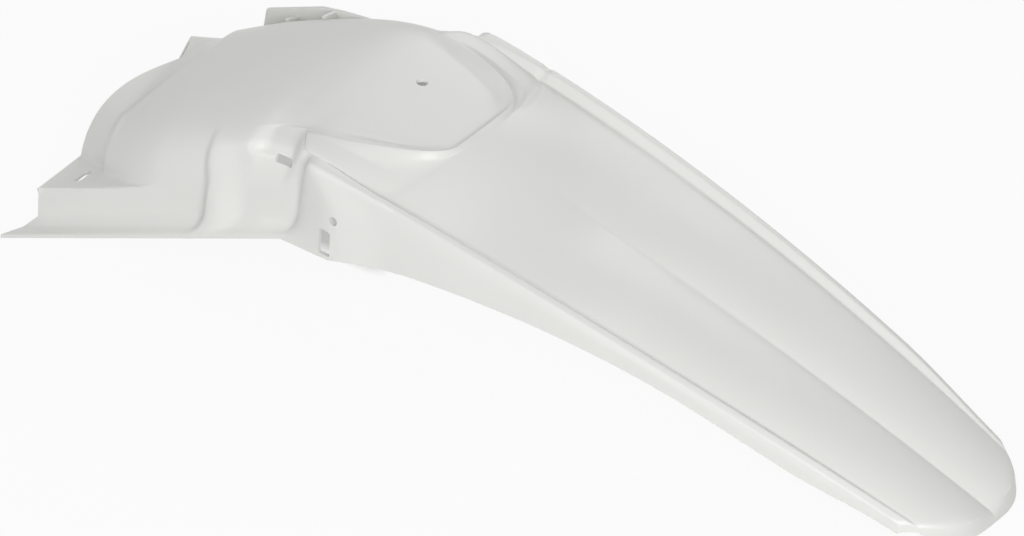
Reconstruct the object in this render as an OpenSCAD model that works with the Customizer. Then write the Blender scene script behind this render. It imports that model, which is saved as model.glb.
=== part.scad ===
// Rear fender of an off-road motorcycle, one thin moulded shell of white plastic.
// X runs to the tip of the tail, Y to the right of the motorcycle and Z up, and the origin is
// on the ground under the middle. Distances along X are from the front ends of the side lips.
// The fender rests on those two ends and on the rolled tip of its tail.

/* [Whole fender] */
// Length from the front lips to the tip of the tail
length = 804; // [780:1:830]
// Width across the two side lips at the front
lip_w = 238; // [228:1:250]
// Width across the side walls of the arch
arch_w = 204; // [196:1:210]
// Height of the crest of the wheel arch above the lips
crest_h = 173; // [170:1:178]
// Thickness of the moulded wall
wall_t = 3; // [2.5:0.1:3.5]

/* [Side flanges] */
// Length of the side flanges along the lips
flange_len = 252; // [246:1:256]
// Rise of the lips for each millimetre towards the rear
lip_rise = 0.36; // [0.34:0.01:0.37]
// Height of the top of the flare above the ground at the front
flare_h = 18; // [16:1:20]
// Rise of the top of the flare for each millimetre towards the rear
flare_rise = 0.39; // [0.37:0.01:0.4]
// Height of the shelf above the ground, carried on to the front lips
shelf_h = 35.3; // [34:0.1:37]
// Rise of the shelf for each millimetre towards the rear
shelf_rise = 0.38; // [0.37:0.01:0.39]

/* [Wheel arch] */
// Width of the open mouth at the shelf
mouth_w = 104; // [96:1:110]
// Distance from the lips to the foot of the mouth
mouth_x = 22; // [18:1:26]
// How far the top of the mouth leans back from its foot
mouth_lean = 58; // [50:1:64]
// Height of the top of the mouth
mouth_h = 130; // [126:1:134]
// Distance from the lips to the highest place of the arch
crest_x = 240; // [230:1:250]
// Roundness of the arch, where 1 is an ellipse and less is squarer
arch_round = 0.76; // [0.7:0.01:0.85]
// Roundness of its mouth on the same scale
mouth_round = 0.95; // [0.85:0.01:1]
// Depth of the joggled strip behind the mouth
strip_depth = 4; // [3:0.5:5]

/* [Seat step] */
// Distance from the lips to the step on the centre line
seat_x = 351; // [345:1:357]
// Height of the tail just behind the step on the centre line
seat_h = 158; // [154:1:160]
// Height of the step behind the arch on the centre line
step_h = 4; // [3:0.5:6]

/* [Tail] */
// Distance from the lips to the front corners of the wings
wing_x = 265; // [260:1:268]
// Height of the front corners of the wings
wing_h = 158; // [154:1:160]
// Height of the inner edges of the wings, which stay level while the arch falls between them
horn_h = 169; // [167:1:171]
// Depth of the groove across each wing, where it folds down to the tail
fold_h = 1.5; // [1:0.1:2]
// Width across the creases at the front of the tail
tail_w = 208; // [202:1:212]
// Width across the creases at the tip
tip_w = 118; // [110:1:124]
// Slope of the tail where it starts
tail_slope = 0.16; // [0.14:0.01:0.18]
// Height of the crown of each lobe of the tail
lobe_h = 7; // [5:0.5:9]
// Width of the flat band outside each crease
band_w = 18; // [14:1:20]
// How far the rounded corners of the tip lie in front of its middle
tip_bow = 26; // [22:1:30]
// Height of the rolled rim at the tip
rim_h = 7; // [6:0.5:8]
// Depth of the skirt below the band at the front of the tail
skirt_front = 62; // [58:1:64]
// Depth of the skirt below the band towards the tip
skirt_rear = 6; // [5:0.5:7]
// Height of the turned-down edge of the lips and skirts
edge_h = 3; // [2:0.5:4]

/* [Fixings] */
// Width of the slots in the shelf
slot_w = 7; // [6:0.5:8]
// Length of the slots in the shelf
slot_len = 17; // [14:0.5:19]
// Diameter of the holes in the skirts
skirt_hole_d = 7; // [6:0.5:8]
// Diameter of the hole in the top of the arch
arch_hole_d = 9; // [7:0.5:10]
// Depth of the pocket in the left shoulder of the arch
pocket_h = 8; // [6:0.5:9]
// How far the ribs stand out from the side walls
rib_h = 9; // [7:0.5:10]
// Thickness of the upright flange on the right of the arch
flange_t = 3; // [2.5:0.5:4]
// Distance of that flange from the centre line
flange_y = 85; // [82:0.5:87]
// Length of that flange along the arch
flange_run = 102; // [90:1:106]
// Height of its top below the crest of the arch
flange_drop = 6; // [4:1:10]

/* [Hidden] */

// Numbers of mesh steps across half of the arch and along the two stretches
arch_n = 19;
front_n = 33;
tail_n = 20;

half_arch = arch_w / 2;
half_mouth = mouth_w / 2;
half_lip = lip_w / 2;
half_tail = tail_w / 2;
half_tip = tip_w / 2;
tip_x = length - tip_bow;

// Places along the fender, from its lips: folds, fixings, pocket, rib, flange and skirts
fold_x = wing_x + 68;
fold_b = 0.12;
fold_reach = 0.009;
slot_x = 50;
slot_y = 82;
arch_hole_x = seat_x - 69;
arch_hole_y = 20;
pocket_x = 240;
pocket_z = 158;
rib_x = 180;
rib_end_x = 214;
flange_x = 90;
skirt_x = wing_x + 35;
skirt_hole_x = wing_x + 39;
skirt_hole_z = 128;

// Sizes of the window in each skirt and of the slot in the pocket, and depth of the other cuts
window = [11, 30, 20];
pocket_slot = [15, 30, 6];
cut_h = 24;

// How far the rolled rim reaches past the deck, and the middle of the whole length
rim_reach = 1.5;
mid_x = (length + rim_reach) / 2;

// Bend of the tail that brings the rim down to the ground at the tip
droop = (wing_h - tail_slope * (length - wing_x) - rim_h) / pow(length - wing_x, 2);

// Straight blend from a to b
function mix(a, b, t) = a + (b - a) * t;

// Soft blend from 0 to 1
function ease(t) = let (c = min(1, max(0, t))) c * c * (3 - 2 * c);

// Round hump, 1 at its middle and 0 from its reach outwards
function hump(d, reach) = ease(1 - abs(d) / reach);

// Height lines of the flange
function lip_z(x) = lip_rise * x;
function flare_z(x) = flare_h + flare_rise * (x - mouth_x);
function shelf_z(x) = shelf_h + shelf_rise * x;

// Half width of the arch at its foot, narrow at the mouth
function foot_y(x) =
    half_arch - (half_arch - half_mouth) * pow(max(0, 1 - (x - mouth_x) / 112), 1.5);

// Height of the arch on the centre line
function crest_z(x) = let (top_x = mouth_x + mouth_lean)
    x < crest_x
    ? mouth_h + (crest_h - mouth_h) * sin(90 * max(0, (x - top_x) / (crest_x - top_x)))
    : mix(crest_h, seat_h - step_h, ease((x - crest_x) / (seat_x - crest_x)));

// Height of the foot of the arch, which rises from the shelf to the wings
function foot_z(x) = mix(shelf_z(x), wing_h - 8, ease((x - 110) / 150));

// Roundness of the arch at x
function round_at(x) = mix(mouth_round, arch_round, ease((x - mouth_x) / 120));

// Height of the arch at x and y, away from the mouth's strip and the seat step
function arch_z(x, y) = let (c = pow(min(1, y / foot_y(x)), 1 / round_at(x)))
    foot_z(x) + (crest_z(x) - foot_z(x)) * pow(1 - c * c, round_at(x) / 2);

// Line where the arch meets the tail, from the wing corner (0) to the centre line (90)
function joint(phi) = [
    mix(wing_x, seat_x, ease((phi - 42) / 30)),
    half_tail * pow(cos(phi), arch_round),
    mix(mix(wing_h, horn_h, sin(90 * min(1, phi / 38))), seat_h, ease((phi - 56) / 32))
];

// How far the shell lies in at x and z for the pocket, and stands out for the rib
function pocket(x, z) =
    pocket_h * min(1, 1.8 * hump(x - pocket_x, 26)) * min(1, 1.6 * hump(z - pocket_z, 16));
function rib(x, z) = let (s = min(1, max(0, (152 - z) / 68)))
    rib_h * pow(s, 0.6) * ease((x - rib_x + 4 * s) / 6) * ease((rib_end_x - x) / 26);

// Point of the arch at station a (0 mouth, 1 joint) and angle phi (0 foot, 90 crest)
function arch_point(a, phi, side) = let (
    f = phi / 90,
    end = joint(phi),
    x = mix(mouth_x + mouth_lean * f, end.x - 4, a),
    foot = foot_z(x),
    strip = strip_depth * (1 - ease((a - mix(0.15, 0.06, f)) / 0.03)),
    y = foot_y(x) * pow(cos(phi), round_at(x)) - strip * cos(phi),
    z = foot + (crest_z(x) - foot) * pow(sin(phi), round_at(x)) - strip * sin(phi),
    near = ease((a - 0.93) / 0.07),
    end_z = mix(end.z - 2, z, ease((phi - 18) / 20)),
    out = rib(x, z) - (side < 0 ? pocket(x, z) : 0)
) [x, mix(y, end.y - 1, near) + out * cos(phi / 2), mix(z, end_z, near) + out * sin(phi / 2)];

// Half section of the front stretch at station a, from the lip up to the crest
function front_row(a, side) = let (
    lip_x = flange_len * a,
    wall_x = mix(mouth_x, wing_x - 4, a),
    flare = flare_z(wall_x) - 8 * ease((wall_x - 225) / 36),
    wall_y = half_arch - 1,
    foot = rib(wall_x, flare),
    crest = rib(wall_x, shelf_z(wall_x))
) concat(
    [
        [lip_x, mix(half_lip, half_lip - 8, a), lip_z(lip_x)],
        [lip_x + 0.5, mix(half_lip, half_lip - 8, a) - 0.5, lip_z(lip_x) + edge_h],
        [mix(lip_x, wall_x, 0.6), mix(wall_y, half_lip - 4 * a, 0.36) + foot / 2,
            mix(lip_z(lip_x) + edge_h, flare, 0.4)],
        [wall_x, wall_y + foot, flare],
        [wall_x + 1, wall_y + crest, shelf_z(wall_x) - 0.5]
    ],
    [for (i = [0 : arch_n]) arch_point(a, 90 * i / arch_n, side)]
);

// Height and half width of the crease along the tail
function crease_z(x) = wing_h - tail_slope * (x - wing_x) - droop * pow(x - wing_x, 2);
function crease_y(x) = let (t = (x - wing_x) / (tip_x - wing_x))
    half_tail - (half_tail - half_tip) * mix(t, pow(max(0, t), 8), 0.26);

// Point of the tail deck at station b (0 joint, 1 tip) and angle phi (0 crease, 90 centre)
function deck_point(b, phi) = let (
    f = phi / 90,
    start = joint(phi),
    fold = fold_x + 30 * f,
    end_x = length - tip_bow * pow(1 - f, 3.5),
    x = b < fold_b ? mix(start.x, fold, b / fold_b) : mix(fold, end_x, (b - fold_b) / (1 - fold_b)),
    t = mix(1 - pow(cos(phi), arch_round), f, ease(b / 0.3)),
    crown = (seat_h - crease_z(seat_x)) * (1 - ease((x - seat_x) / 120)) * sin(90 * t),
    lobe = lobe_h * ease((x - seat_x - 30) / 150) * pow(sin(180 * t), 0.8),
    groove = fold_h * max(0, 1 - abs(b - fold_b) / fold_reach) * ease((0.8 - f) / 0.2),
    y = crease_y(x) * (1 - t),
    z = crease_z(x) + crown + lobe - groove,
    k = min(1, b / fold_b)
) [x, mix(start.y, y, k), mix(start.z, z, k)];

// Half section of the tail at station b, from the skirt's edge up to the centre line
function tail_row(b) = let (
    crease = deck_point(b, 0),
    band = mix(7, band_w * (1 - 0.5 * pow(b, 3)), ease(b / 0.12)),
    drop = skirt_rear + (skirt_front - skirt_rear) * pow(max(0, 1 - b / 0.66), 2.6),
    edge_y = crease.y + band,
    bare = ease(b / 0.06)
) concat(
    [
        [mix(skirt_x, tip_x - 10, b), edge_y + mix(7, 0.6, bare), crease.z - drop],
        [mix(skirt_x, tip_x - 10, b), edge_y + mix(7, 0.6, bare), crease.z - drop + edge_h],
        [mix(skirt_x + 2, tip_x - 10, b), edge_y + mix(5, 0.6, bare), crease.z - 0.4 * drop],
        [mix(skirt_x - 11, tip_x - 9, b), edge_y + mix(3, 0, bare), crease.z - mix(10, 2, bare)],
        [mix(wing_x + 3, tip_x - 4, b), edge_y - 0.35 * band * bare, crease.z + bare]
    ],
    [for (i = [0 : arch_n]) deck_point(b, 90 * i / arch_n)]
);

// Rolled rim: the last section carried down to the ground, level with the skirts at its ends
function rim_row() = let (row = tail_row(1), low = row[0].z)
    [for (i = [0 : len(row) - 1]) let (p = row[i])
        [p.x + rim_reach, p.y, i < 5 ? mix(p.z, low, 0.85) : crease_z(p.x) - rim_h]];

// Stations close together at the mouth, the pocket and the joint
function front_at(i) = let (t = i / front_n)
    t < 0.25 ? 0.72 * t : t < 0.45 ? mix(0.18, 0.56, (t - 0.25) / 0.2) : mix(0.56, 1, (t - 0.45) / 0.55);

// Stations on both sides of the fold and its groove, then evenly wider ones to the tip
function tail_at(i) = i < 3 ? i * fold_b / 3
    : i < 6 ? fold_b + fold_reach * (i - 4)
    : mix(fold_b + fold_reach, 1, pow((i - 5) / (tail_n - 5), 1.1));

// All half sections on one side, -1 left or 1 right
function half_rows(side) = concat(
    [for (i = [0 : front_n]) front_row(front_at(i), side)],
    [for (i = [0 : tail_n]) tail_row(tail_at(i))],
    [rim_row()]
);
left = half_rows(-1);
right = half_rows(1);
rows_n = len(left);
half_n = len(left[0]);
cols_n = 2 * half_n - 1;

// Whole outer skin, left edge to right edge in every row
outer = [for (i = [0 : rows_n - 1]) concat(
    [for (p = left[i]) [p.x, -p.y, p.z]],
    [for (j = [half_n - 2 : -1 : 0]) right[i][j]]
)];

// Unit normal at row i and column j, pointing out of the wheel space
function normal(i, j) = let (
    along = outer[min(rows_n - 1, i + 1)][j] - outer[max(0, i - 1)][j],
    across = outer[i][min(cols_n - 1, j + 1)] - outer[i][max(0, j - 1)],
    n = cross(along, across)
) n / norm(n);

// Inner skin, which stays above the ground
inner = [for (i = [0 : rows_n - 1]) [for (j = [0 : cols_n - 1])
    let (p = outer[i][j] - wall_t * normal(i, j)) [p.x, p.y, max(0, p.z)]]];

// Number of a point in the joined list of both skins
function at(skin, i, j) = (skin * rows_n + i) * cols_n + j;

// Two triangles over four corners
function quad(a, b, c, d) = [[a, b, c], [a, c, d]];

module shell() {
    rows = [0 : rows_n - 2];
    cols = [0 : cols_n - 2];
    last_i = rows_n - 1;
    last_j = cols_n - 1;
    skins = [for (i = rows, j = cols) each concat(
        quad(at(0, i, j), at(0, i, j + 1), at(0, i + 1, j + 1), at(0, i + 1, j)),
        quad(at(1, i, j), at(1, i + 1, j), at(1, i + 1, j + 1), at(1, i, j + 1))
    )];
    sides = [for (i = rows) each concat(
        quad(at(0, i, 0), at(0, i + 1, 0), at(1, i + 1, 0), at(1, i, 0)),
        quad(at(0, i, last_j), at(1, i, last_j), at(1, i + 1, last_j), at(0, i + 1, last_j))
    )];
    ends = [for (j = cols) each concat(
        quad(at(0, 0, j), at(1, 0, j), at(1, 0, j + 1), at(0, 0, j + 1)),
        quad(at(0, last_i, j), at(0, last_i, j + 1), at(1, last_i, j + 1), at(1, last_i, j))
    )];
    polyhedron(
        points = [for (skin = [outer, inner], row = skin) each row],
        faces = concat(skins, sides, ends)
    );
}

// Slot through the shelf with round ends, on the side given by its sign
module shelf_slot(side) {
    reach = slot_len / 2 - slot_w / 2;
    translate([slot_x, side * slot_y, shelf_z(slot_x)]) {
        for (end = [-reach, reach])
            translate([0, end, 0]) cylinder(h = cut_h, d = slot_w, center = true, $fn = 48);
        cube([slot_w, 2 * reach, cut_h], center = true);
    }
}

// Hole and window through one skirt, the window below the hole and a little in front of it
module skirt_cuts(side) {
    translate([skirt_hole_x, side * half_lip, skirt_hole_z])
        rotate([90, 0, 0]) cylinder(h = cut_h, d = skirt_hole_d, center = true, $fn = 48);
    translate([skirt_hole_x - 8, side * half_lip, skirt_hole_z - 21]) cube(window, center = true);
}

// Slot through the lower wall of the pocket
module pocket_opening() {
    translate([pocket_x + 6, 3 - half_arch, pocket_z - 10]) cube(pocket_slot, center = true);
}

module arch_hole() {
    translate([arch_hole_x, arch_hole_y, crest_h])
        cylinder(h = 2 * cut_h, d = arch_hole_d, center = true, $fn = 48);
}

// Upright flange on the right shoulder, its lower edge sunk in the wall of the arch
module flange() {
    end_x = flange_x + flange_run;
    foot = [for (i = [0 : 10]) let (x = mix(flange_x, end_x, i / 10))
        [x, arch_z(x, flange_y + flange_t) - 1]];
    top = [
        [end_x, crest_z(end_x) - flange_drop - 7],
        [end_x - 26, crest_z(end_x - 26) - flange_drop - 3],
        [flange_x + 56, crest_z(flange_x + 56) - flange_drop],
        [flange_x + 4, crest_z(flange_x + 4) - flange_drop]
    ];
    translate([0, flange_y + flange_t, 0])
        rotate([90, 0, 0]) linear_extrude(flange_t) polygon(concat(foot, top));
}

// Small web that props the flange from the top of the arch
module web(x) {
    end_y = flange_y + 1;
    low_y = flange_y - 14;
    foot = [for (y = [end_y, mix(end_y, low_y, 0.5), low_y]) [-y, arch_z(x, y) - 1]];
    translate([x + flange_t / 2, 0, 0]) rotate([90, 0, -90]) linear_extrude(flange_t)
        polygon(concat(foot, [[-low_y, arch_z(x, low_y) + 3], [-end_y, arch_z(x, flange_y) + 8]]));
}

module rear_fender() {
    color("white") translate([-mid_x, 0, 0]) difference() {
        union() {
            shell();
            flange();
            for (part = [1, 2]) web(flange_x + flange_run * part / 3);
        }
        for (side = [-1, 1]) {
            shelf_slot(side);
            skirt_cuts(side);
        }
        pocket_opening();
        arch_hole();
    }
}

rear_fender();
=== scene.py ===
import math

import bmesh
import bpy
import numpy as np
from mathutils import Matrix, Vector


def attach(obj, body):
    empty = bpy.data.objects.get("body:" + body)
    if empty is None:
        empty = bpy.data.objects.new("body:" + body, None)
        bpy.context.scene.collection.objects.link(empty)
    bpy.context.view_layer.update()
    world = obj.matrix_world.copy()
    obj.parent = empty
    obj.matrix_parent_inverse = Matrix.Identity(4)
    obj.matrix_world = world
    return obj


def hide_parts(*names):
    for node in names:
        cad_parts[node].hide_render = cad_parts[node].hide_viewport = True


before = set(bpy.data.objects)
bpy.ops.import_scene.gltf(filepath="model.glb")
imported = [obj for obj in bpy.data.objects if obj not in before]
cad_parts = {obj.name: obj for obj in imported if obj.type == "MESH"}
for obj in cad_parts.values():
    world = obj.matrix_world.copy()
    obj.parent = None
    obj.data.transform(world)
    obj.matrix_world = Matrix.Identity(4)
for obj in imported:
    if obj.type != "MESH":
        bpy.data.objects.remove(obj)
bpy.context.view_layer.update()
MM = 0.001

# Camera: it looks from behind, above and the left of the motorcycle, through a long lens from
# ten metres away, so that the sides of the tail run almost parallel, as they do in the photograph.
AIM = Vector((0.0019, -0.0345, 0.0830))
TOWARDS_CAMERA = Vector((0.4883, -0.6795, 0.5473)).normalized()
camera = bpy.data.objects.new("camera", bpy.data.cameras.new("camera"))
camera.data.lens = 485.2
camera.data.sensor_width = 36
camera.data.clip_end = 60
camera.location = AIM + 10 * TOWARDS_CAMERA
camera.rotation_euler = TOWARDS_CAMERA.to_track_quat("Z", "Y").to_euler()
bpy.context.scene.collection.objects.link(camera)
bpy.context.scene.camera = camera
bpy.context.scene.view_settings.view_transform = "Standard"


# Fender shell: one injection moulding of white polypropylene, 3 mm thick: a domed wheel arch,
# flared side flanges, two wings beside the seat, and a long tail with two lobes, side rails and
# skirts. It stands on its lips and its tip. Distances along X are in millimetres from the lips.
LENGTH, CREST, WALL = 804, 173, 3
HALF_LIP, HALF_ARCH, HALF_MOUTH, HALF_TAIL, HALF_TIP = 119, 102, 52, 99, 57
FLANGE_LEN, EDGE = 252, 3
MOUTH_X, MOUTH_LEAN, MOUTH_H, CREST_X = 22, 58, 130, 240
ARCH_ROUND, MOUTH_ROUND, STRIP = 0.76, 0.95, 4
SEAT_X, SEAT_H, STEP = 354, 167, 2.5
WING_X, WING_H, WING_SKEW, HORN_H, TAIL_H = 265, 166, 8, 170.5, 164
TIP_BOW, RIM, RIM_REACH = 26, 7, 1.5
TIP_X = LENGTH - TIP_BOW
SKIRT_X, SKIRT_FRONT, SKIRT_REAR = WING_X + 35, 72, 17
TAIL_SLOPE, LOBE, RAIL_H, RAIL_W = 0.18, 7, 5.5, 12
FOLD_X, FOLD_B, FOLD_REACH, FOLD_DEPTH = WING_X + 68, 0.12, 0.012, {-1: 0.2, 1: 1.6}
WING_FOOT, CORNER_PHI, PEAK_PHI, RAMP_REACH = WING_H - 16, 38, 50, 22
POCKET_X, POCKET_Z, POCKET_DEPTH = 240, 158, 8
RIB_X, RIB_END_X, RIB_TOP_Z, RIB_OUT = 180, 214, 152, 9
LIP_RISE, FLARE_H, FLARE_RISE, SHELF_H, SHELF_RISE = 0.36, 18, 0.39, 35.3, 0.38
DROOP = (TAIL_H - TAIL_SLOPE * (LENGTH - WING_X) - RIM) / (LENGTH - WING_X) ** 2
MID_X = (LENGTH + RIM_REACH) / 2


def mix(a, b, t):
    """Straight blend from a to b as t goes from 0 to 1."""
    return a + (b - a) * t


def ease(t):
    """Soft blend: 3 t squared less 2 t cubed, with t held between 0 and 1."""
    c = np.clip(t, 0, 1)
    return c * c * (3 - 2 * c)


def quarter_sine(t):
    """Rise from 0 to 1 that starts steep and ends level, with t held between 0 and 1."""
    return np.sin(math.pi / 2 * np.clip(t, 0, 1))


def hump(d, reach):
    """Round hump over d, 1 at its middle and 0 from its reach outwards."""
    return ease(1 - np.abs(d) / reach)


def stack(x, y, z):
    """Points of a grid from three arrays of coordinates."""
    return np.stack(np.broadcast_arrays(x, y, z), axis=-1).astype(float)


def lip_z(x):
    """Height of the lip, which rises in a straight line."""
    return LIP_RISE * x


def flare_z(x):
    """Height of the top of the flare."""
    return FLARE_H + FLARE_RISE * (x - MOUTH_X)


def shelf_z(x):
    """Height of the shelf."""
    return SHELF_H + SHELF_RISE * x


def foot_y(x):
    """Half width of the arch at its foot: full along the wall, narrow in a curve to the mouth."""
    narrow = np.clip(1 - (x - MOUTH_X) / 112, 0, None)
    return HALF_ARCH - (HALF_ARCH - HALF_MOUTH) * narrow**1.5


def crest_z(x):
    """Height of the arch on the centre line: a quarter sine to the crest, then down to the seat."""
    top_x = MOUTH_X + MOUTH_LEAN
    rise = mix(MOUTH_H, CREST, quarter_sine((x - top_x) / (CREST_X - top_x)))
    fall = mix(CREST, SEAT_H - STEP, ease((x - CREST_X) / (SEAT_X - CREST_X)))
    return np.where(x < CREST_X, rise, fall)


def foot_z(x):
    """Height of the foot of the arch, on the shelf in front and by the wings behind."""
    return mix(shelf_z(x), WING_FOOT, ease((x - 110) / 150))


def round_at(x):
    """Power of the superellipse that the arch's section follows, rounder at the mouth."""
    return mix(MOUTH_ROUND, ARCH_ROUND, ease((x - MOUTH_X) / 120))


def joint(phi):
    """Line where arch and tail meet, from the wing corner (phi 0) to the centre line (phi 90).

    It crosses the front of the wing, then follows the seat edge inwards and back.
    """
    lift = mix(WING_H, HORN_H, quarter_sine(phi / PEAK_PHI))
    front_x = WING_X + WING_SKEW * (1 - 2 * np.clip(phi / CORNER_PHI, 0, 1))
    return stack(
        mix(front_x, SEAT_X, quarter_sine((phi - CORNER_PHI) / 40)),
        HALF_TAIL * np.clip(np.cos(np.radians(phi)), 0, 1) ** ARCH_ROUND,
        mix(lift, SEAT_H, ease((phi - 52) / 30)),
    )


def pocket(x, z):
    """Depth of the pocket in the left shoulder: two humps multiplied, each cut off flat at 1."""
    along, up = hump(x - POCKET_X, 26), hump(z - POCKET_Z, 16)
    return POCKET_DEPTH * np.minimum(1, 1.8 * along) * np.minimum(1, 1.6 * up)


def rib(x, z):
    """Stand-out of the side rib: sharp in front, running out softly behind, fading upwards."""
    low = np.clip((RIB_TOP_Z - z) / 68, 0, 1)
    return RIB_OUT * low**0.6 * ease((x - RIB_X + 4 * low) / 6) * ease((RIB_END_X - x) / 26)


def arch_points(a, phi, side):
    """Arch at station a (0 mouth, 1 joint) and angle phi (0 foot, 90 crest).

    A superellipse section between foot and crest, sunk by the strip behind the mouth, led to the
    line of the joint by a short step or a long ramp, moved out by the rib and in by the pocket.
    """
    f = phi / 90
    cos, sin = np.clip(np.cos(np.radians(phi)), 0, 1), np.sin(np.radians(phi))
    end = joint(phi)
    end_x, end_y, end_z = end[..., 0], end[..., 1], end[..., 2]
    x = mix(MOUTH_X + MOUTH_LEAN * f, end_x - 4, a)
    foot, power = foot_z(x), round_at(x)
    strip = STRIP * (1 - ease((a - mix(0.15, 0.06, f)) / 0.03))
    y = foot_y(x) * cos**power - strip * cos
    z = foot + (crest_z(x) - foot) * sin**power - strip * sin
    wide = hump(phi - PEAK_PHI, RAMP_REACH)
    ramp = mix(0.93, 0.74, wide)
    near = ease((a - ramp) / (1 - ramp))
    foot_of_step = mix(end_z - mix(2, 0.5, wide), z, ease((phi - 72) / 10))
    out = rib(x, z) - (pocket(x, z) if side < 0 else 0)
    half = np.radians(phi / 2)
    y, z = mix(y, end_y - 1, near), mix(z, foot_of_step, near)
    return stack(x, y + out * np.cos(half), z + out * np.sin(half))


def crease_z(x):
    """Height of the deck at the feet of its rails, a straight slope with an even bend down."""
    return TAIL_H - TAIL_SLOPE * (x - WING_X) - DROOP * (x - WING_X) ** 2


def crease_y(x):
    """Half width of the deck at the feet of its rails, narrowing with the power 1.75 of the way."""
    t = np.clip((x - WING_X) / (TIP_X - WING_X), 0, None)
    return HALF_TAIL - (HALF_TAIL - HALF_TIP) * t**1.75


def deck_points(b, phi, side):
    """Tail deck at station b (0 joint, 1 tip) and angle phi (0 rail, 90 centre line).

    The height at the rail, plus a crown that dies out behind the seat and a sine lobe on each side,
    less a narrow groove across each wing, which shows on the right one only.
    """
    f = phi / 90
    start = joint(phi)
    fold = FOLD_X + 30 * f
    end_x = LENGTH - TIP_BOW * (1 - f) ** 3.5
    wing = mix(start[..., 0], fold, b / FOLD_B)
    x = np.where(b < FOLD_B, wing, mix(fold, end_x, (b - FOLD_B) / (1 - FOLD_B)))
    t = mix(1 - np.clip(np.cos(np.radians(phi)), 0, 1) ** ARCH_ROUND, f, ease(b / 0.3))
    crown = (SEAT_H - crease_z(SEAT_X)) * (1 - ease((x - SEAT_X) / 120)) * quarter_sine(t)
    lobe = LOBE * ease((x - SEAT_X - 30) / 150) * np.clip(np.sin(math.pi * t), 0, 1) ** 0.8
    k = quarter_sine(b / FOLD_B)
    groove = FOLD_DEPTH[side] * hump(b - FOLD_B, FOLD_REACH) * ease((0.8 - f) / 0.2)
    y = mix(start[..., 1], crease_y(x) * (1 - t), k)
    return stack(x, y, mix(start[..., 2], crease_z(x) + crown + lobe - groove, k))


def front_low(a):
    """Lip, flare and shelf edge at station a, five points from the lip's lower edge upwards."""
    lip_x = FLANGE_LEN * a
    wall_x = mix(MOUTH_X, WING_X - 4, a)
    flare = flare_z(wall_x) - 8 * ease((wall_x - 225) / 36)
    wall_y, lip_y = HALF_ARCH - 1, mix(HALF_LIP, HALF_LIP - 8, a)
    foot, top = rib(wall_x, flare), rib(wall_x, shelf_z(wall_x))
    return np.stack([
        stack(lip_x, lip_y, lip_z(lip_x)),
        stack(lip_x + 0.5, lip_y - 0.5, lip_z(lip_x) + EDGE),
        stack(mix(lip_x, wall_x, 0.6), mix(wall_y, HALF_LIP - 4 * a, 0.36) + foot / 2,
              mix(lip_z(lip_x) + EDGE, flare, 0.4)),
        stack(wall_x, wall_y + foot, flare),
        stack(wall_x + 1, wall_y + top, shelf_z(wall_x) - 0.5),
    ], axis=1)


def tail_low(b, side):
    """Skirt and rail at station b: five points from the skirt's lower edge to the rail's top."""
    crease = deck_points(b, np.zeros_like(b), side)
    start, end = ease(b / 0.14), 1 - 0.5 * ease((b - 0.8) / 0.2)
    z = crease[:, 2] + RAIL_H * start * end
    drop = end * (SKIRT_REAR + (SKIRT_FRONT - SKIRT_REAR) * np.clip(1 - b / 0.66, 0, None) ** 1.7)
    flare = mix(7, 0.8, ease(b / 0.1))
    edge_y = crease[:, 1] + RAIL_W * (0.5 + end / 2)
    low_x = mix(SKIRT_X, TIP_X - 14, b)
    return np.stack([
        stack(low_x, edge_y + flare, z - drop),
        stack(low_x, edge_y + flare, z - drop + EDGE),
        stack(mix(SKIRT_X + 2, TIP_X - 14, b), edge_y + 0.7 * flare, z - 0.4 * drop),
        stack(mix(WING_X + 10, TIP_X - 12, b), edge_y, z),
        stack(mix(WING_X + 11, TIP_X - 5, b), crease[:, 1] + mix(3, 1.1 * RAIL_H * end, start), z),
    ], axis=1)


def subdivide(points, steps):
    """Adds steps[k] even steps to the straight line from point k to point k + 1 of every row."""
    parts = [
        mix(points[:, k:k + 1], points[:, k + 1:k + 2], (np.arange(n) / n)[None, :, None])
        for k, n in enumerate(steps)
    ]
    return np.concatenate(parts, axis=1)


LOW_STEPS = (2, 4, 4, 5, 6)
PHI = 90 * np.linspace(0, 1, 64)[None, :]
FRONT_A = np.concatenate(
    [np.linspace(0, 0.18, 30)[:-1], np.linspace(0.18, 0.56, 36)[:-1], np.linspace(0.56, 1, 54)]
)
TAIL_B = np.concatenate(
    [np.linspace(0, 0.1, 12)[:-1], np.linspace(0.1, 0.14, 13)[:-1], np.linspace(0.14, 1, 92)]
)


def half_grid(side):
    """Outer skin of one half: front rows, five rows across the joint, tail rows and the rim."""
    arch = arch_points(FRONT_A[:, None], PHI, side)
    deck = deck_points(TAIL_B[:, None], PHI, side)
    front = np.concatenate([front_low(FRONT_A), arch[:, :1]], axis=1)
    tail = np.concatenate([tail_low(TAIL_B, side), deck[:, :1]], axis=1)
    front = np.concatenate([subdivide(front, LOW_STEPS), arch], axis=1)
    tail = np.concatenate([subdivide(tail, LOW_STEPS), deck], axis=1)
    link = front[-1] + (tail[0] - front[-1]) * (np.arange(1, 6) / 6)[:, None, None]
    x, y, z = tail[-1].T
    below_deck = np.arange(len(z)) < sum(LOW_STEPS)
    deep = np.where(below_deck, mix(z, z[0], 0.85), crease_z(x) - RIM)
    rim = [stack(x + RIM_REACH * k, y, mix(z, deep, k)) for k in (1 / 3, 2 / 3, 1)]
    return np.concatenate([front, link, tail, np.stack(rim)])


def rounded(grid, passes):
    """Rounds the folds: each point moves halfway to its four neighbours' mean, passes times."""
    for _ in range(passes):
        mean = (grid[:-2, 1:-1] + grid[2:, 1:-1] + grid[1:-1, :-2] + grid[1:-1, 2:]) / 4
        grid[1:-1, 1:-1] = mix(grid[1:-1, 1:-1], mean, 0.5)
    return grid


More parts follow.
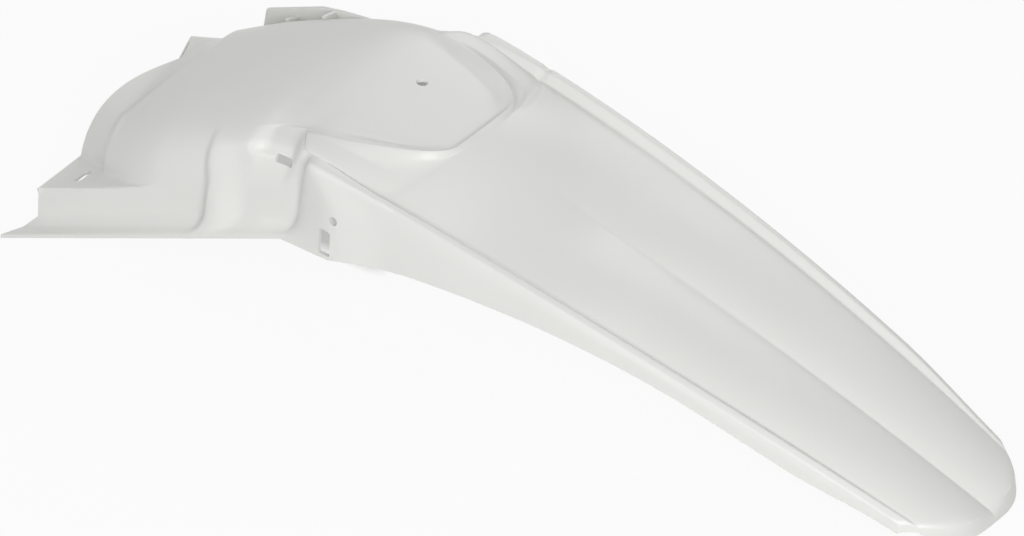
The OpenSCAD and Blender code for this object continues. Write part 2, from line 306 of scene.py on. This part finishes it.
left, right = half_grid(-1), half_grid(1)
left[..., 1] *= -1
skin = rounded(np.concatenate([left, right[:, -2::-1]], axis=1), 2)
along, across = np.gradient(skin, axis=0), np.gradient(skin, axis=1)
normal = np.cross(along, across)
normal /= np.linalg.norm(normal, axis=-1, keepdims=True)
under = skin - WALL * normal
under[..., 2] = np.maximum(under[..., 2], 0)


def grid_faces(numbers):
    """Quads of a grid of vertex numbers, turned so that the grid's normal points outwards."""
    corners = numbers[:-1, :-1], numbers[:-1, 1:], numbers[1:, 1:], numbers[1:, :-1]
    return np.stack(corners, axis=-1).reshape(-1, 4)


def edge_loop(grid):
    """Values all round the border of a grid, once round and back to the first."""
    return np.concatenate([grid[0, :-1], grid[:-1, -1], grid[-1, :0:-1], grid[::-1, 0]])


def placed(points):
    """Points in metres, with the origin under the middle of the fender."""
    return (points.reshape(-1, 3) - [MID_X, 0, 0]) * MM


def mesh_object(name, points, faces):
    """Smooth mesh object, with its place in its mesh."""
    mesh = bpy.data.meshes.new(name)
    mesh.from_pydata(placed(points).tolist(), [], faces.tolist())
    mesh.validate()
    mesh.shade_smooth()
    obj = bpy.data.objects.new(name, mesh)
    bpy.context.scene.collection.objects.link(obj)
    return obj


rows, cols = skin.shape[:2]
numbers = np.arange(rows * cols).reshape(rows, cols)
top_loop, low_loop = edge_loop(numbers), edge_loop(numbers) + rows * cols
walls = np.stack([top_loop[:-1], low_loop[:-1], low_loop[1:], top_loop[1:]], axis=-1)
faces = np.concatenate([grid_faces(numbers), grid_faces(numbers + rows * cols)[:, ::-1], walls])
points = np.concatenate([skin.reshape(-1, 3), under.reshape(-1, 3)])
shell = mesh_object("fender_shell", points, faces)


CUT_DEPTH = 14


def cut(target, name, centre, size, corner, axis):
    """Cuts an opening with rounded corners through target, along Y or Z.

    The outline is a rectangle of the given size whose corners are quarter circles.
    """
    n = 64
    turn = np.radians((np.arange(n) + 0.5) * 360 / n)
    reach = np.array(size) / 2 - corner
    flat = np.stack([np.sign(np.cos(turn)) * reach[0] + corner * np.cos(turn),
                     np.sign(np.sin(turn)) * reach[1] + corner * np.sin(turn)], axis=-1)
    ends = []
    for depth in (-CUT_DEPTH, CUT_DEPTH):
        ring = np.insert(flat, axis, depth, axis=1)
        ends.append(ring + centre)
    i = np.arange(n)
    sides = np.stack([i, (i + 1) % n, (i + 1) % n + n, i + n], axis=-1)
    mesh = bpy.data.meshes.new(name)
    caps = [list(range(n))[::-1], list(range(n, 2 * n))]
    mesh.from_pydata(placed(np.concatenate(ends)).tolist(), [], sides.tolist() + caps)
    tool = bpy.data.objects.new(name, mesh)
    bpy.context.scene.collection.objects.link(tool)
    if axis == ALONG_Y:
        mesh.flip_normals()
    hole = target.modifiers.new(name, "BOOLEAN")
    hole.operation, hole.solver, hole.object = "DIFFERENCE", "EXACT", tool
    solid = target.evaluated_get(bpy.context.evaluated_depsgraph_get())
    target.data = bpy.data.meshes.new_from_object(solid)
    target.modifiers.clear()
    bpy.data.objects.remove(tool)


ALONG_Y, ALONG_Z = 1, 2
SLOT_X, SLOT_Y, HOLE_X, HOLE_Z = 50, 82, WING_X + 39, 128
for side in (-1, 1):
    at_skirt = side * HALF_LIP
    cut(shell, "shelf_slot", (SLOT_X, side * SLOT_Y, shelf_z(SLOT_X)), (7, 17), 3.49, ALONG_Z)
    cut(shell, "skirt_hole", (HOLE_X, at_skirt, HOLE_Z), (7, 7), 3.49, ALONG_Y)
    cut(shell, "skirt_window", (HOLE_X - 8, at_skirt, HOLE_Z - 21), (11, 20), 1.5, ALONG_Y)
cut(shell, "pocket_slot", (POCKET_X + 6, 3 - HALF_ARCH, POCKET_Z - 10), (15, 6), 1, ALONG_Y)
cut(shell, "arch_hole", (SEAT_X - 69, 20, CREST - 8), (9, 9), 4.49, ALONG_Z)
shell.data.set_sharp_from_angle(angle=math.radians(40))
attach(shell, "root")
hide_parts("rear_fender")


# Upright flange: a plain plate moulded on the right shoulder of the arch, 3 mm thick, that
# closes the gap to the side panel. Two small webs behind it keep it straight.
FLANGE_X, FLANGE_RUN, FLANGE_Y, FLANGE_T, FLANGE_DROP = 90, 102, 85, 3, 6


def arch_z(x, y):
    """Height of the arch at x and y, from the same superellipse as its section."""
    c = np.minimum(1, y / foot_y(x)) ** (1 / round_at(x))
    return foot_z(x) + (crest_z(x) - foot_z(x)) * (1 - c * c) ** (round_at(x) / 2)


def plate(name, foot, top, thick):
    """Upright plate between a foot line and a top line, with its thickness along one direction."""
    lines = np.stack([foot, top])
    grid = np.concatenate([lines, lines[::-1] + thick, lines[:1]])
    n, m = grid.shape[:2]
    numbers = np.arange((n - 1) * m).reshape(n - 1, m)
    numbers = np.concatenate([numbers, numbers[:1]])
    caps = np.stack([numbers[:4, 0], numbers[:4, -1][::-1]])
    return mesh_object(name, grid[:-1], np.concatenate([grid_faces(numbers), caps]))


def plate_finish(piece):
    """With its faces turned outwards and its edges rounded by half a millimetre."""
    edit = bmesh.new()
    edit.from_mesh(piece.data)
    bmesh.ops.recalc_face_normals(edit, faces=edit.faces)
    edit.to_mesh(piece.data)
    edit.free()
    soft = piece.modifiers.new("rounded", "BEVEL")
    soft.width, soft.segments = 0.0005, 3
    soft.limit_method, soft.angle_limit = "ANGLE", math.radians(50)
    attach(piece, "root")


end_x = FLANGE_X + FLANGE_RUN
flange_line = np.linspace(FLANGE_X, end_x, 40)
corner_x = np.array([FLANGE_X + 4, FLANGE_X + 56, end_x - 26, end_x])
corner_z = crest_z(corner_x) - FLANGE_DROP - np.array([0, 0, 3, 7])
front_z = arch_z(FLANGE_X, FLANGE_Y + FLANGE_T) + 4
top_line = np.interp(flange_line, [FLANGE_X, *corner_x], [front_z, *corner_z])
flange = plate(
    "upright_flange",
    stack(flange_line, FLANGE_Y + 0.0, arch_z(flange_line, FLANGE_Y + FLANGE_T) - 1.5),
    stack(flange_line, FLANGE_Y + 0.0, top_line),
    [0, FLANGE_T, 0],
)
plate_finish(flange)
webs = []
for number in (1, 2):
    x = FLANGE_X + FLANGE_RUN * number / 3
    y = np.linspace(FLANGE_Y + 1, FLANGE_Y - 14, 12)
    foot = arch_z(np.full_like(y, x), y)
    web = plate(
        f"flange_web_{number}",
        stack(x - FLANGE_T / 2, y, foot - 1.5),
        stack(x - FLANGE_T / 2, y, np.linspace(foot[0] + 8, foot[-1] + 3, 12)),
        [FLANGE_T, 0, 0],
    )
    plate_finish(web)
    webs.append(web)


# Moulded plastic: white polypropylene from a polished mould, glossy, with the faint waviness
# and the slightly uneven gloss that a large thin moulding has.
class Value:
    """A shader socket that does sums: each operator adds one Math node."""

    def __init__(self, tree, socket):
        self.tree, self.socket = tree, socket

    def sum(self, operation, a, b):
        node = self.tree.nodes.new("ShaderNodeMath")
        node.operation = operation
        for place, value in zip(node.inputs, (a, b)):
            if isinstance(value, Value):
                self.tree.links.new(value.socket, place)
            else:
                place.default_value = value
        return Value(self.tree, node.outputs[0])

    def __add__(self, other):
        return self.sum("ADD", self, other)

    def __sub__(self, other):
        return self.sum("SUBTRACT", self, other)

    def __rsub__(self, other):
        return self.sum("SUBTRACT", other, self)

    def __mul__(self, other):
        return self.sum("MULTIPLY", self, other)

    __radd__, __rmul__ = __add__, __mul__

    def absolute(self):
        return self.sum("ABSOLUTE", self, 0.0)

    def clamped(self):
        held = self.sum("MULTIPLY", self, 1.0)
        held.socket.node.use_clamp = True
        return held


class Finish:
    """A material under construction, whose nodes all come from one method."""

    def __init__(self, name):
        self.material = bpy.data.materials.new(name)
        self.material.use_nodes = True
        self.tree = self.material.node_tree
        self.tree.nodes.clear()

    def node(self, kind, settings=None, output=0, **sockets):
        """Adds a node, sets it up and connects its sockets, and gives one output as a Value."""
        node = self.tree.nodes.new(kind)
        for key, value in (settings or {}).items():
            setattr(node, key, value)
        for key, value in sockets.items():
            place = node.inputs[key.replace("_", " ")]
            if isinstance(value, Value):
                self.tree.links.new(value.socket, place)
            else:
                place.default_value = value
        return None if output is None else Value(self.tree, node.outputs[output])


PALER, DARKER = (0.815, 0.820, 0.792, 1), (0.790, 0.795, 0.765, 1)


def white_plastic():
    """White body: two sizes of noise vary its tint, its gloss and, very slightly, its surface."""
    f = Finish("white_plastic")
    place = f.node("ShaderNodeTexCoord", output=3)
    broad = f.node("ShaderNodeTexNoise", Vector=place, Scale=14.0, Detail=2.0, Roughness=0.5)
    fine = f.node("ShaderNodeTexNoise", Vector=place, Scale=900.0, Detail=2.0, Roughness=0.6)
    tint = f.node("ShaderNodeMix", {"data_type": "RGBA"}, output=2, Factor=broad)
    tint_node = tint.socket.node
    tint_node.inputs[6].default_value = DARKER
    tint_node.inputs[7].default_value = PALER
    height = broad * 0.9 + fine * 0.02
    wave = f.node("ShaderNodeBump", Height=height, Strength=0.25, Distance=0.0015)
    body = f.node(
        "ShaderNodeBsdfPrincipled", Base_Color=tint, Normal=wave, IOR=1.49,
        Roughness=0.25 + 0.12 * broad + 0.05 * fine,
    )
    f.node("ShaderNodeOutputMaterial", output=None, Surface=body)
    return f.material


plastic = white_plastic()
for piece in [shell, flange, *webs]:
    piece.data.materials.clear()
    piece.data.materials.append(plastic)


# Floor: a pale studio sweep. The camera and the gloss of the plastic see it as almost plain
# white, darker in the shade under the arch, and to all other light it is a pale grey.
SEEN_SHARE, SHADE, FLOOR_HALF = 0.92, 0.7, 30
floor_mesh = bpy.data.meshes.new("floor")
floor_mesh.from_pydata(
    [(x * FLOOR_HALF, y * FLOOR_HALF, 0) for x, y in ((-1, -1), (1, -1), (1, 1), (-1, 1))],
    [], [(0, 1, 2, 3)],
)
floor = bpy.data.objects.new("floor", floor_mesh)
bpy.context.scene.collection.objects.link(floor)


def seen_directly(tree):
    """1 for rays from the camera and from gloss or glass, 0 for the light that spreads about."""
    path = tree.nodes.new("ShaderNodeLightPath")
    kinds = "Camera", "Glossy", "Transmission"
    camera_ray, gloss, glass = (Value(tree, path.outputs[f"Is {kind} Ray"]) for kind in kinds)
    return camera_ray + gloss + glass


def under_arch(f):
    """1 on the floor under the right half of the arch, 0 outside: two soft bands multiplied."""
    place = f.node("ShaderNodeTexCoord", output=3)
    split = f.node("ShaderNodeSeparateXYZ", Vector=place).socket.node
    mask = 1.0
    for axis, middle, half in (("X", -0.23, 0.09), ("Y", 0.055, 0.055)):
        away = (Value(f.tree, split.outputs[axis]) - middle).absolute()
        mask = mask * ((half - away) * 60).clamped()
    return mask


def pale_floor():
    """Diffuse pale grey, replaced by plain white light for most of what is seen directly."""
    f = Finish("pale_floor")
    base = f.node("ShaderNodeBsdfDiffuse", Color=(0.8, 0.8, 0.8, 1))
    glow = f.node("ShaderNodeEmission", Color=(1, 1, 1, 1), Strength=1.0)
    share = seen_directly(f.tree) * SEEN_SHARE * (1 - SHADE * under_arch(f))
    both = f.node("ShaderNodeMixShader", Fac=share)
    f.tree.links.new(base.socket, both.socket.node.inputs[1])
    f.tree.links.new(glow.socket, both.socket.node.inputs[2])
    f.node("ShaderNodeOutputMaterial", output=None, Surface=both)
    return f.material


floor.data.materials.append(pale_floor())


# Light: a pale room, white where it is seen directly, and large soft lamps around the fender.
ROOM_LIGHT, LAMP_SIZE, CENTRE = 0.3, 1.6, Vector((0, 0, 0.1))
room = bpy.data.worlds.new("room")
bpy.context.scene.world = room
room.use_nodes = True
sky = room.node_tree.nodes["Background"]
strength = seen_directly(room.node_tree) * (1 - ROOM_LIGHT) + ROOM_LIGHT
room.node_tree.links.new(strength.socket, sky.inputs["Strength"])
sky.inputs["Color"].default_value = (1, 1, 1, 1)


def lamp(name, place, power):
    """Square area lamp at a place, turned towards the middle of the fender."""
    light = bpy.data.lights.new(name, "AREA")
    light.shape, light.size, light.energy = "SQUARE", LAMP_SIZE, power
    obj = bpy.data.objects.new(name, light)
    obj.location = place
    obj.rotation_euler = (Vector(place) - CENTRE).to_track_quat("Z", "Y").to_euler()
    bpy.context.scene.collection.objects.link(obj)


lamp("key_lamp", (1.93, -2.09, 1.48), 54)
lamp("fill_lamp", (-0.97, -2.59, 1.62), 14)
lamp("top_lamp", (0, 0, 3.2), 8)
lamp("back_lamp", (-0.97, 2.59, 1.62), 16)
